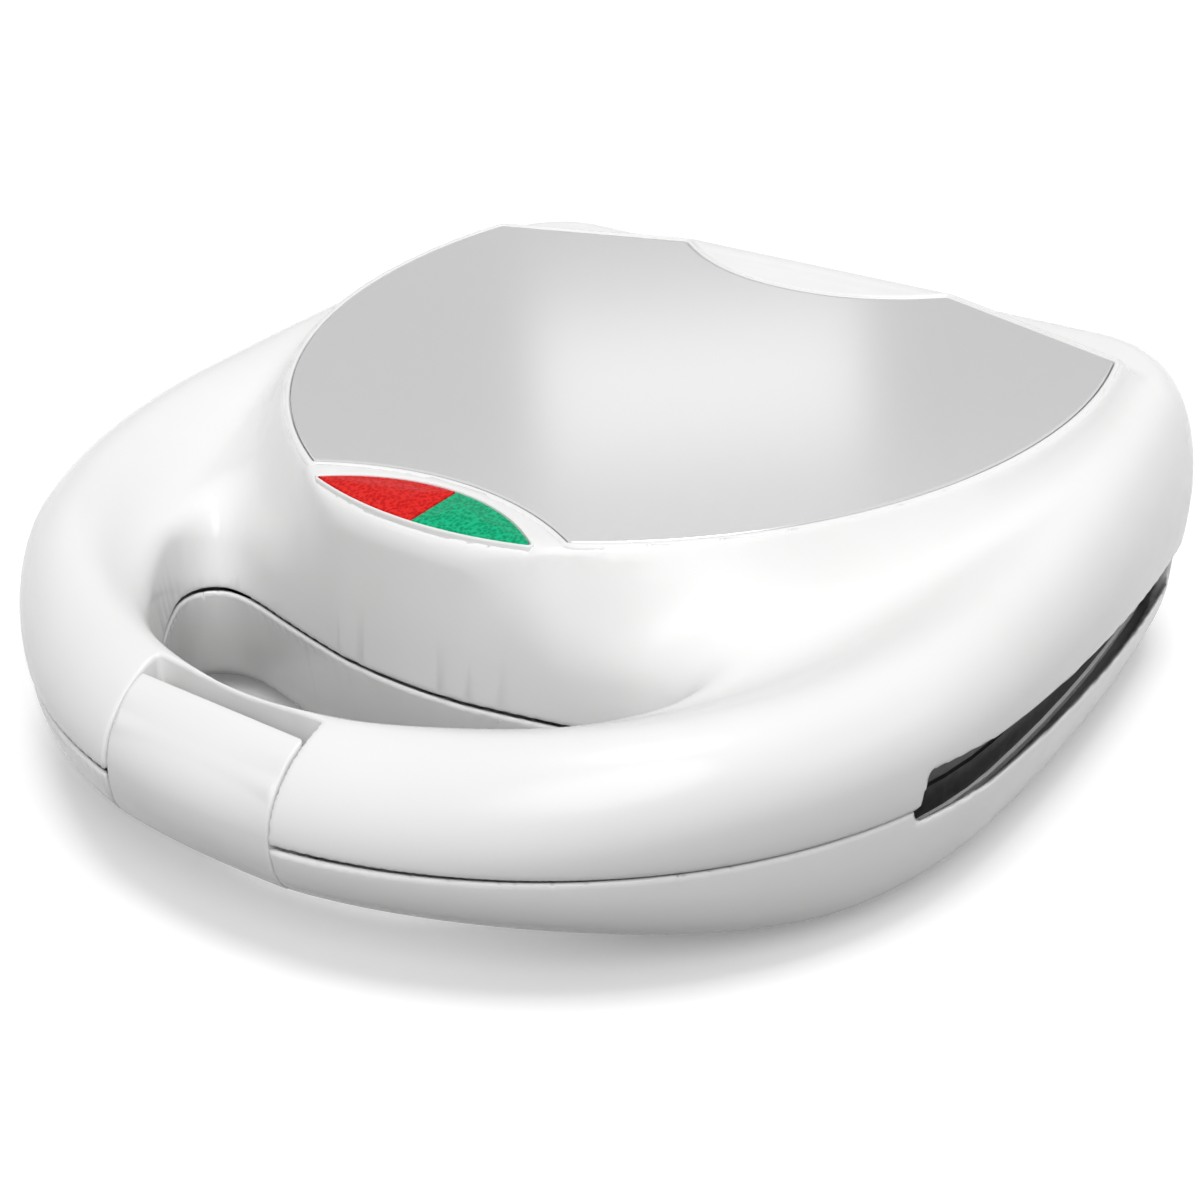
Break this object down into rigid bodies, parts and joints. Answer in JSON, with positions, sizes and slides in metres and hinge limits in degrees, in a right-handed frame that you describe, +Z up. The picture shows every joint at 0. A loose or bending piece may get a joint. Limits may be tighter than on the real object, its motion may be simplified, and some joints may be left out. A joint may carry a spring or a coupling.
{
  "type": "sandwich maker",
  "caption": "White countertop sandwich maker with a hinged lid, a metal top panel, red and green lenses, a front latch and pocketed hot plates.",
  "frame": {"origin": "on the ground under the middle of the object's box, standing on its feet", "axes": "+Z up, +X to the right of someone who faces the latch, +Y from the latch towards the hinge"},
  "size_m": [0.226, 0.2381, 0.0749],
  "materials": {
    "white_plastic": "glossy white moulded plastic",
    "panel_metal": "bright, almost mirror-like sheet metal",
    "red_lens_plastic": "clear red, with a fine prismatic pattern",
    "green_lens_plastic": "clear green, with a fine prismatic pattern",
    "plate_coating": "satin dark non-stick coating",
    "bare_steel": "plain plated steel",
    "heater_sheath": "dull oxidised steel tube",
    "foot_rubber": "matte pale grey rubber",
    "ceramic": "matte off-white heat-resistant moulding",
    "lamp_glass": "clear glass of a neon lamp"
  },
  "bodies": {
    "base": {"base_shell": "white_plastic", "base_deck": "white_plastic", "lower_plate": "plate_coating", "lower_heater": "heater_sheath", "lower_reflector": "bare_steel", "cord_inlet": "foot_rubber", "hinge_pin_left": "bare_steel", "hinge_pin_right": "bare_steel", "foot_front_left": "foot_rubber", "foot_front_right": "foot_rubber", "foot_back_left": "foot_rubber", "foot_back_right": "foot_rubber", "base_screw_front_left": "bare_steel", "base_screw_front_right": "bare_steel", "base_screw_back_left": "bare_steel", "base_screw_back_right": "bare_steel"},
    "lid": {"lid_shell": "white_plastic", "lid_deck": "white_plastic", "top_panel": "panel_metal", "red_lens": "red_lens_plastic", "green_lens": "green_lens_plastic", "upper_plate": "plate_coating", "upper_heater": "heater_sheath", "upper_reflector": "bare_steel", "lamp_tray": "ceramic", "lamp_left": "lamp_glass", "lamp_right": "lamp_glass", "thermostat": "ceramic", "thermal_fuse": "ceramic", "terminal_block": "ceramic", "latch_pin": "bare_steel", "lid_screw_front_left": "bare_steel", "lid_screw_front_right": "bare_steel", "lid_screw_back_left": "bare_steel", "lid_screw_back_right": "bare_steel"},
    "latch": {"latch_clip": "white_plastic"}
  },
  "joints": [
    {"name": "lid_hinge", "type": "hinge", "parent": "base", "child": "lid", "pos_m": [0, 0.1138, 0.0288], "axis": [-1, 0, 0], "range_deg": [0, 105]},
    {"name": "latch_pivot", "type": "hinge", "parent": "lid", "child": "latch", "pos_m": [0, -0.1118, 0.036], "axis": [-1, 0, 0], "range_deg": [0, 35]}
  ]
}
